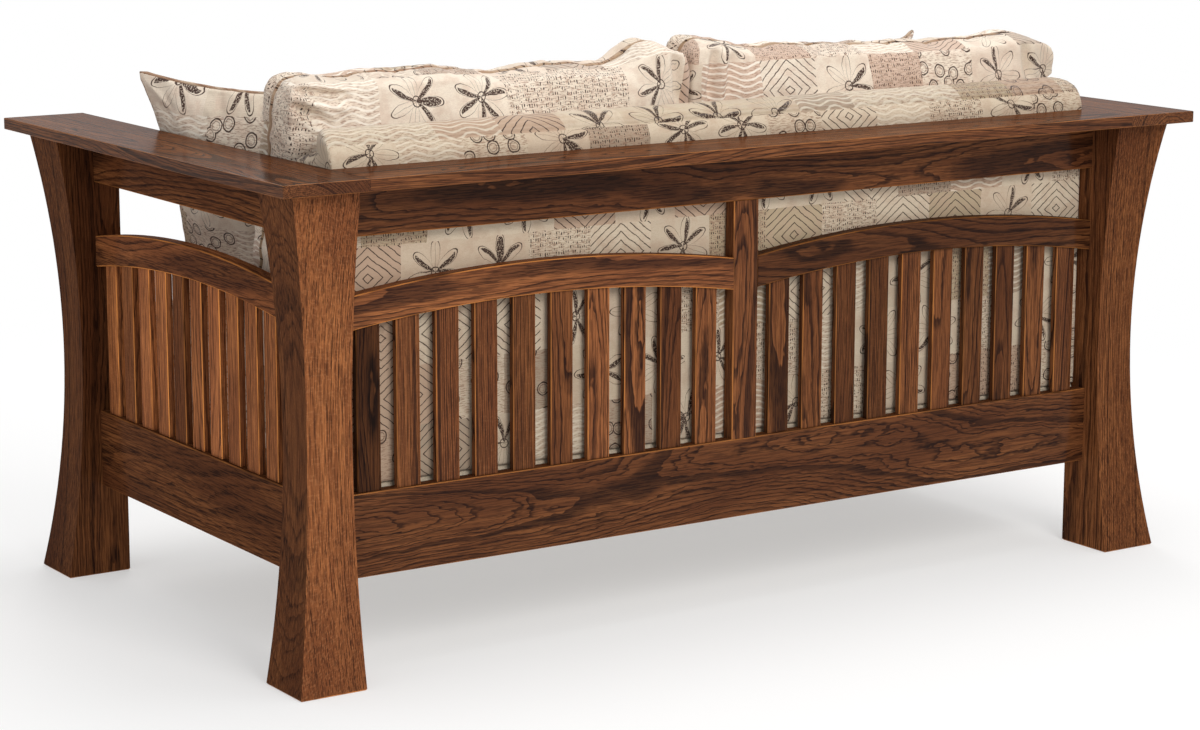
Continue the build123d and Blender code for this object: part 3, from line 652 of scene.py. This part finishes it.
# cloth pressure between pinned seams, held to a small movement, then one subdivision
def puffed(obj, own, edges, press, cap, pin=0.004):
    start = [vertex.co.copy() for vertex in obj.data.vertices]
    back = own.inverted()
    held = []
    for vertex in obj.data.vertices:
        height = (back @ vertex.co).z
        if min(abs(height - edges[0]), abs(height - edges[1])) < pin:
            held.append(vertex.index)
    group = obj.vertex_groups.new(name="seam")
    group.add(held, 1.0, "REPLACE")
    cloth = obj.modifiers.new("puff", "CLOTH")
    cloth.settings.use_pressure = True
    cloth.settings.uniform_pressure_force = press
    cloth.settings.effector_weights.gravity = 0
    cloth.settings.vertex_group_mass = "seam"
    cloth.settings.tension_stiffness = 20
    cloth.settings.compression_stiffness = 20
    cloth.settings.shear_stiffness = 10
    cloth.settings.bending_stiffness = 0.8
    cloth.settings.shrink_min = -0.02
    cloth.point_cache.frame_start = 1
    cloth.point_cache.frame_end = 20
    for count in range(1, 21):
        scene.frame_set(count)
    applyAll(obj)
    scene.frame_set(1)
    most = 0.0
    for vertex, before in zip(obj.data.vertices, start):
        move = vertex.co - before
        most = max(most, move.length)
        if move.length > cap:
            vertex.co = before + move * (cap / move.length)
    print(obj.name, "moved up to %.1f mm" % (most * 1000))
    smooth = obj.modifiers.new("smooth", "SMOOTH")
    smooth.factor = 0.5
    smooth.iterations = 2
    rounds = obj.modifiers.new("rounds", "SUBSURF")
    rounds.levels = 1
    rounds.render_levels = 1
    applyAll(obj)
    only(obj)
    bpy.ops.object.shade_smooth()
    return obj


# draws the cloth in along a seam, and rounds the faces over behind it
def pinch(obj, own, seam, depth, reach=0.02, rounds=10):
    back = own.inverted()
    group = obj.vertex_groups.new(name="rims")
    for vertex in obj.data.vertices:
        near = abs((back @ vertex.co).z - seam) / reach
        if near > 1:
            group.add([vertex.index], 1.0, "REPLACE")
    smooth = obj.modifiers.new("rims", "SMOOTH")
    smooth.factor = 0.5
    smooth.iterations = rounds
    smooth.vertex_group = "rims"
    applyAll(obj)
    spin = back.to_3x3()
    moves = []
    for vertex in obj.data.vertices:
        near = abs((back @ vertex.co).z - seam) / reach
        way = (spin @ vertex.normal) * Vector((1, 1, 0))
        moves.append(way * depth * (1 - near * near) ** 2 if near < 1 else Vector())
    turn = own.to_3x3()
    for vertex, move in zip(obj.data.vertices, moves):
        vertex.co -= turn @ move


# the value read off a short table of (place, amount) pairs
def between(value, table):
    if value <= table[0][0]:
        return table[0][1]
    for (a, first), (b, second) in zip(table, table[1:]):
        if value <= b:
            share = (value - a) / (b - a)
            share = share * share * (3 - 2 * share)
            return first + (second - first) * share
    return table[-1][1]


# 0 up to a start, and 1 past a run beyond it
def rise(value, start, run):
    return max(0.0, min(1.0, (value - start) / run))


# lifts or drops a cushion's upper part along its width
def slump(obj, top):
    for vertex in obj.data.vertices:
        share = rise(vertex.co.z, *backShape["slumpUp"])
        vertex.co.z += between(vertex.co.x, top) * share * share


# lets the end of a back cushion spread over the arm cap
def bulge(obj, sign, out):
    for vertex in obj.data.vertices:
        high = rise(vertex.co.z, *backShape["bulgeUp"])
        far = rise(vertex.co.x * sign, *backShape["bulgeOut"])
        low = rise(-vertex.co.z, *backShape["bulgeDown"])
        vertex.co.x += sign * out * high * far * far * low


# pulls the four edges of a pillow in between its corners, and the corners out
def drawIn(obj, own, wide, high, amount, ear):
    back = own.inverted()
    for vertex in obj.data.vertices:
        spot = back @ vertex.co
        x, y = spot.x / (wide / 2), spot.y / (high / 2)
        corner = abs(x * y) ** 5
        spot.x += ear * corner * math.copysign(1, x) - amount * x * abs(x) * (1 - min(1, y * y))
        spot.y += ear * corner * math.copysign(1, y) - amount * y * abs(y) * (1 - min(1, x * x))
        vertex.co = own @ spot


# soft uneven stuffing under the cloth, and finer wrinkles over it
def crease(obj, depth, wrinkle=0.0):
    for name, size, strength in (("stuffing", 0.075, depth), ("wrinkles", 0.026, wrinkle)):
        if not strength:
            continue
        clouds = bpy.data.textures.get(name) or bpy.data.textures.new(name, "CLOUDS")
        clouds.noise_scale = size
        clouds.noise_depth = 1
        uneven = obj.modifiers.new(name, "DISPLACE")
        uneven.texture = clouds
        uneven.texture_coords = "LOCAL"
        uneven.strength = strength
        uneven.mid_level = 0.55
    applyAll(obj)


# folds pressed into the rear face, each from one (x, z) to another, with depth and half width
def fold(obj, own, folds):
    back = own.inverted()
    rear = own.to_3x3() @ Vector((0, 0, 1))
    for start, end, deep, wide in folds:
        start, end = Vector(start), Vector(end)
        line = end - start
        for vertex in obj.data.vertices:
            if (back @ vertex.co).z < 0:
                continue
            place = Vector((vertex.co.x, vertex.co.z))
            share = max(0.0, min(1.0, (place - start).dot(line) / line.length_squared))
            aside = (place - start - line * share).length / wide
            if aside < 3:
                taper = 1 - (2 * share - 1) ** 4
                ridge = math.exp(-(aside - 1.9) ** 2 * 2) * 0.35
                vertex.co -= rear * deep * (math.exp(-aside * aside) - ridge) * taper


def treeOf(obj):
    deps = bpy.context.evaluated_depsgraph_get()
    return BVHTree.FromObject(obj, deps)


# pushes the cloth back out of its neighbours
def keepClear(obj, others, gap=0.0006):
    for other in others:
        near = treeOf(other)
        count = 0
        for vertex in obj.data.vertices:
            place, normal, _, distance = near.find_nearest(vertex.co, 0.06)
            if place is None:
                continue
            depth = (vertex.co - place).dot(normal)
            if depth < gap and (depth < 0 or distance < gap):
                vertex.co = place + normal * gap
                count += 1
        print(obj.name, "clear of", other.name, count)


seatRoom = (0.0009, 0.7292)  # from the seat's middle to the arm


# holds a cushion in its half of the seat, up to a height
def keepBetween(obj, sign, top=9.0):
    for vertex in obj.data.vertices:
        if vertex.co.z < top:
            vertex.co.x = sign * max(seatRoom[0], min(seatRoom[1], vertex.co.x * sign))


# a cord sewn round the piece at one height of its own frame
def welt(obj, name, own, height, thick, count=260, sink=0.35, reach=2.0):
    near = treeOf(obj)
    turn = own.to_3x3()
    points = []
    for step in range(count):
        angle = step * 2 * math.pi / count
        ray = turn @ Vector((math.cos(angle), math.sin(angle), 0))
        start = own @ Vector((0, 0, height))
        hit = near.ray_cast(start + ray * reach, -ray, reach)[0]
        if hit is not None:
            points.append(hit - ray * thick * sink)
    line = bpy.data.curves.new(name, "CURVE")
    line.dimensions = "3D"
    line.bevel_depth = thick / 2
    line.bevel_resolution = 2
    spline = line.splines.new("POLY")
    spline.points.add(len(points) - 1)
    for point, place in zip(spline.points, points):
        point.co = (*place, 1)
    spline.use_cyclic_u = True
    cord = bpy.data.objects.new(name, line)
    scene.collection.objects.link(cord)
    only(cord)
    bpy.ops.object.convert(target="MESH")
    bpy.ops.object.shade_smooth()
    return bpy.context.view_layer.objects.active


sides = {"left": 1, "right": -1}
slope = math.atan(0.0575)
seatShape = {"middle": (0.3645, -0.0948, 0.3122), "thick": 0.108, "press": 4.0, "cap": 0.022,
             "voxel": 0.0085, "crease": (0.005, 0.0012), "cord": 0.006}

# out is how far an end spreads over the arm, folds and top are places in metres, and each pair
# that rise() takes is a start and a run
backShape = {
    "foot": (0.3645, 0.1195, 0.4199), "high": 0.472, "half": 0.0425, "lean": math.asin(90 / 472),
    "press": 4.0, "cap": 0.026, "voxel": 0.0075, "crease": (0.009, 0.0028), "cord": 0.0072,
    "out": {"left": 0.0, "right": 0.048},
    "bulgeUp": (0.775, 0.035), "bulgeOut": (0.60, 0.12), "bulgeDown": (-0.900, 0.03),
    "slumpUp": (0.66, 0.20), "pinch": 0.005, "belowCap": 0.764,
    "seam": -0.014,
    "folds": {
        "left": [((0.722, 0.864), (0.625, 0.847), 0.017, 0.008),
                 ((0.726, 0.846), (0.660, 0.806), 0.013, 0.008),
                 ((0.705, 0.880), (0.640, 0.872), 0.008, 0.007),
                 ((0.036, 0.890), (0.024, 0.790), 0.013, 0.009)],
        "right": [((-0.046, 0.888), (-0.036, 0.790), 0.014, 0.009),
                  ((-0.085, 0.885), (-0.062, 0.800), 0.009, 0.010),
                  ((-0.700, 0.868), (-0.715, 0.800), 0.011, 0.009)],
    },
    "top": {
        "left": [(0.0, -0.012), (0.02, 0.012), (0.065, 0.018), (0.14, -0.014), (0.25, -0.007),
                 (0.34, -0.015), (0.45, -0.002), (0.56, -0.004), (0.64, -0.009), (0.72, -0.004)],
        "right": [(-0.73, -0.008), (-0.69, -0.004), (-0.60, -0.010), (-0.40, -0.006), (-0.26, 0.0),
                  (-0.15, 0.0), (-0.08, 0.010), (-0.02, 0.020), (0.0, 0.018)],
    },
}

# each side has its upper outer corner and its turn in degrees
pillowShape = {
    "wide": 0.42, "high": 0.43, "lean": math.radians(18.6), "press": 3.0, "cap": 0.014,
    "voxel": 0.0055, "crease": (0.006, 0.0022), "cord": 0.0065, "drawn": 0.014,
    "ear": {"left": 0.010, "right": 0.016},
    "left": ((0.7482, -0.2121, 0.8510), 36.0),
    "right": ((0.7434, -0.1140, 0.8501), 54.0),
}

seatCloths = {
    "left": printedCloth("seatPrintLeft", 1.0, (0.03, 0.06)),
    "right": printedCloth("seatPrintRight", 2.0, (0.71, 0.02)),
}
backCloths = {
    "left": printedCloth("backPrintLeft", 5.0, (0.02, 0.03)),
    "right": printedCloth("backPrintRight", 8.0, (0.45, 0.05)),
}
pillowCloths = {
    "left": printedCloth("pillowPrintLeft", 11.0, (0.05, 0.02)),
    "right": printedCloth("pillowPrintRight", 13.0, (0.3, 0.04)),
}
# the whole panel, roll included, is tinted darker as painted shade, for the shadow under the cap and
# behind the slats
panelCloth = printedCloth("panelPrint", 17.0, (0.0, 0.0), (0.75, 0.715, 0.65))
# the cords are tinted darker, partly as the cords' own tan and partly as painted shade beside a cord
cordCloth = printedCloth("cordPrint", 21.0, (0.2, 0.1), (0.56, 0.46, 0.38))

softPieces = {}


def dress(obj, cloth, node, body):
    obj.data.materials.clear()
    obj.data.materials.append(cloth)
    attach(obj, body)
    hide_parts(node)


def trim(obj, cord, cloth):
    cord.data.materials.clear()
    cord.data.materials.append(cloth)
    world = cord.matrix_world.copy()
    cord.parent = obj
    cord.matrix_parent_inverse = obj.matrix_world.inverted()
    cord.matrix_world = world


def cordUv(obj):
    layer = obj.data.uv_layers[0] if obj.data.uv_layers else obj.data.uv_layers.new(name="cloth")
    for loop in obj.data.loops:
        place = obj.data.vertices[loop.vertex_index].co
        layer.data[loop.index].uv = (place.x + place.y * 0.7, place.z + place.y * 0.4)


# cloth drawn tight over a firm form, which needs no simulation
def cover(node, name, voxel, rounds):
    obj = copyOf(node, name, voxel)
    smooth = obj.modifiers.new("smooth", "SMOOTH")
    smooth.factor = 0.5
    smooth.iterations = rounds
    applyAll(obj)
    only(obj)
    bpy.ops.object.shade_smooth()
    return obj


# the roll's ends narrow by inward towards the front and the top
rollShape = {"ahead": (-0.352, 0.088), "up": (0.766, 0.012), "out": (0.60, 0.128), "inward": 0.052}


def buildPanel():
    obj = cover("back_upholstery", "back_panel_cover", 0.0068, 4)
    for vertex in obj.data.vertices:
        ahead = rise(-vertex.co.y, *rollShape["ahead"])
        high = rise(vertex.co.z, *rollShape["up"])
        far = rise(abs(vertex.co.x), *rollShape["out"])
        inward = rollShape["inward"] * ahead * ahead * high * far * far
        vertex.co.x -= math.copysign(inward, vertex.co.x)
    own = axes((0, 0.318, 0.55), (-1, 0, 0), (0, 0, 1))
    panelUv(obj, own, (-0.05, 0.05))
    dress(obj, panelCloth, "back_upholstery", "frame")
    softPieces["panel"] = obj


def buildDeck():
    obj = cover("deck_pad", "deck_cover", 0.0075, 2)
    dress(obj, deckCloth(), "deck_pad", "frame")
    softPieces["deck"] = obj


def buildSeat(side):
    sign = sides[side]
    place = seatShape["middle"]
    name = "seat_cushion_" + side
    obj = copyOf(name, "seat_pad_" + side, seatShape["voxel"])
    own = axes((place[0] * sign, place[1], place[2]), (1, 0, 0), (0, math.cos(slope), -math.sin(slope)))
    edges = (0.0, seatShape["thick"])
    puffed(obj, own, edges, seatShape["press"], seatShape["cap"])
    crease(obj, *seatShape["crease"])
    keepClear(obj, [softPieces["deck"], softPieces["panel"]])
    keepBetween(obj, sign)
    panelUv(obj, own, edges)
    softPieces[name] = obj
    dress(obj, seatCloths[side], name, name)
    for count, height in enumerate((0.004, seatShape["thick"])):
        cord = welt(obj, "seat_welt_%s_%d" % (side, count), own, height, seatShape["cord"])
        cordUv(cord)
        trim(obj, cord, cordCloth)


def buildBack(side):
    sign = sides[side]
    foot, lean, half = backShape["foot"], backShape["lean"], backShape["half"]
    name = "back_cushion_" + side
    obj = copyOf(name, "back_pad_" + side, backShape["voxel"])
    up = Vector((0, math.sin(lean), math.cos(lean)))
    middlePlace = Vector((foot[0] * sign, foot[1], foot[2])) + up * backShape["high"] / 2
    own = axes(middlePlace, (-1, 0, 0), up)
    edges = (-half, half)
    puffed(obj, own, edges, backShape["press"], backShape["cap"])
    pinch(obj, own, backShape["seam"], backShape["pinch"])
    slump(obj, backShape["top"][side])
    bulge(obj, sign, backShape["out"][side])
    crease(obj, *backShape["crease"])
    fold(obj, own, backShape["folds"][side])
    keepClear(obj, [softPieces["panel"], softPieces["seat_cushion_" + side], nodes["arm_cap_" + side]])
    keepBetween(obj, sign, backShape["belowCap"])
    if side == "right":
        keepClear(obj, [softPieces["back_cushion_left"]])
    panelUv(obj, own, (backShape["seam"], backShape["seam"]), edges)
    softPieces[name] = obj
    dress(obj, backCloths[side], name, name)
    cord = welt(obj, "back_welt_" + side, own, backShape["seam"], backShape["cord"], sink=0.05)
    cordUv(cord)
    trim(obj, cord, cordCloth)


def buildPillow(side):
    sign = sides[side]
    tip, turn = pillowShape[side]
    turn, lean = math.radians(turn), pillowShape["lean"]
    across = Vector((-math.sin(turn) * sign, math.cos(turn), 0))
    up = Vector((math.cos(turn) * math.sin(lean) * sign, math.sin(turn) * math.sin(lean), math.cos(lean)))
    wide, high = pillowShape["wide"], pillowShape["high"]
    centre = Vector((tip[0] * sign, tip[1], tip[2])) + across * wide / 2 - up * high / 2
    name = "throw_pillow_" + side
    obj = copyOf(name, "pillow_" + side, pillowShape["voxel"])
    own = axes(centre, across, up)
    puffed(obj, own, (0.0, 0.0), pillowShape["press"], pillowShape["cap"], pin=0.0035)
    drawIn(obj, own, wide, high, pillowShape["drawn"], pillowShape["ear"][side])
    crease(obj, *pillowShape["crease"])
    keepClear(obj, [softPieces["back_cushion_" + side], softPieces["seat_cushion_" + side],
                    nodes["arm_cap_" + side]])
    panelUv(obj, own, (0.0, 0.0))
    softPieces[name] = obj
    dress(obj, pillowCloths[side], name, name)
    cord = welt(obj, "pillow_welt_" + side, own, 0.0, pillowShape["cord"], sink=0.1)
    cordUv(cord)
    trim(obj, cord, cordCloth)


buildPanel()
buildDeck()
print("panel and deck done")
for side in sides:
    buildSeat(side)
    buildBack(side)
    buildPillow(side)
    print("cushions done:", side)


def floorMaterial():
    material, tree = newMaterial("paleFloor")
    place = add(tree, "TexCoord").outputs["Object"]
    flat = stretched(tree, place, (1, 1, 0))
    away = add(tree, "VectorMath", {0: flat}, operation="LENGTH").outputs["Value"]
    diffuse = add(tree, "BsdfDiffuse")
    diffuse.inputs["Color"].default_value = (0.93, 0.93, 0.93, 1)
    white = add(tree, "Emission")
    white.inputs["Color"].default_value = (1, 1, 1, 1)
    white.inputs["Strength"].default_value = 1.0
    mix = add(tree, "MixShader", {0: ramp(tree, away, 1.0, 2.6, 0.45, 1.0)})
    tree.links.new(diffuse.outputs[0], mix.inputs[1])
    tree.links.new(white.outputs[0], mix.inputs[2])
    end = add(tree, "OutputMaterial")
    tree.links.new(mix.outputs[0], end.inputs[0])
    return material


def buildStage():
    bpy.ops.mesh.primitive_plane_add(size=120, location=(0, 0, -0.0005))
    floor = bpy.context.active_object
    floor.name = "floor"
    floor.data.materials.append(floorMaterial())
    world = bpy.data.worlds.new("studio")
    world.use_nodes = True
    tree = world.node_tree
    tree.nodes.clear()
    path = add(tree, "LightPath").outputs
    shiny = larger(tree, path["Is Glossy Ray"], path["Is Transmission Ray"])
    seen = larger(tree, path["Is Camera Ray"], shiny)
    strength = calc(tree, "MULTIPLY_ADD", seen, 0.45, 0.55)
    back = add(tree, "Background", {"Strength": strength})
    back.inputs["Color"].default_value = (1, 1, 1, 1)
    end = add(tree, "OutputWorld")
    tree.links.new(back.outputs[0], end.inputs[0])
    scene.world = world


# place, target, size, power and color of each
lamps = {
    "key": ((0.4, 4.4, 3.2), (0.0, 0.3, 0.45), 2.4, 125, (1.0, 0.985, 0.96)),
    "side": ((4.6, 0.6, 2.2), (0.6, 0.0, 0.4), 2.0, 7, (1.0, 0.99, 0.98)),
    "front": ((-1.4, -3.8, 3.0), (0.0, 0.0, 0.4), 2.4, 60, (1.0, 0.99, 0.97)),
    "top": ((-0.6, 0.2, 4.6), (0.0, 0.0, 0.5), 3.0, 70, (1.0, 1.0, 1.0)),
}


def buildLamps():
    for name, (place, target, size, power, color) in lamps.items():
        data = bpy.data.lights.new(name, "AREA")
        data.shape = "DISK"
        data.size = size
        data.energy = power
        data.color = color
        lamp = bpy.data.objects.new(name, data)
        lamp.location = place
        lamp.rotation_euler = (Vector(target) - Vector(place)).to_track_quat("-Z", "Y").to_euler()
        scene.collection.objects.link(lamp)


cameraView = {"lens": 91.25, "sensor": 36, "place": (2.8218, 4.2382, 1.3375),
              "yaw": 33.5421, "pitch": 11.1611, "roll": 0.1144}


def buildCamera():
    data = bpy.data.cameras.new("camera")
    data.lens = cameraView["lens"]
    data.sensor_width = cameraView["sensor"]
    camera = bpy.data.objects.new("camera", data)
    yaw, pitch, roll = [math.radians(cameraView[name]) for name in ("yaw", "pitch", "roll")]
    ahead = Vector((-math.sin(yaw) * math.cos(pitch), -math.cos(yaw) * math.cos(pitch), -math.sin(pitch)))
    right = Vector((-math.cos(yaw), math.sin(yaw), 0))
    up = right.cross(ahead)
    turn = Matrix((right, up, -ahead)).transposed().to_4x4()
    place = Matrix.Translation(cameraView["place"])
    camera.matrix_world = place @ turn @ Matrix.Rotation(roll, 4, "Z")
    scene.collection.objects.link(camera)
    scene.camera = camera


buildStage()
buildLamps()
buildCamera()
scene.view_settings.view_transform = "Standard"

print("stage done")
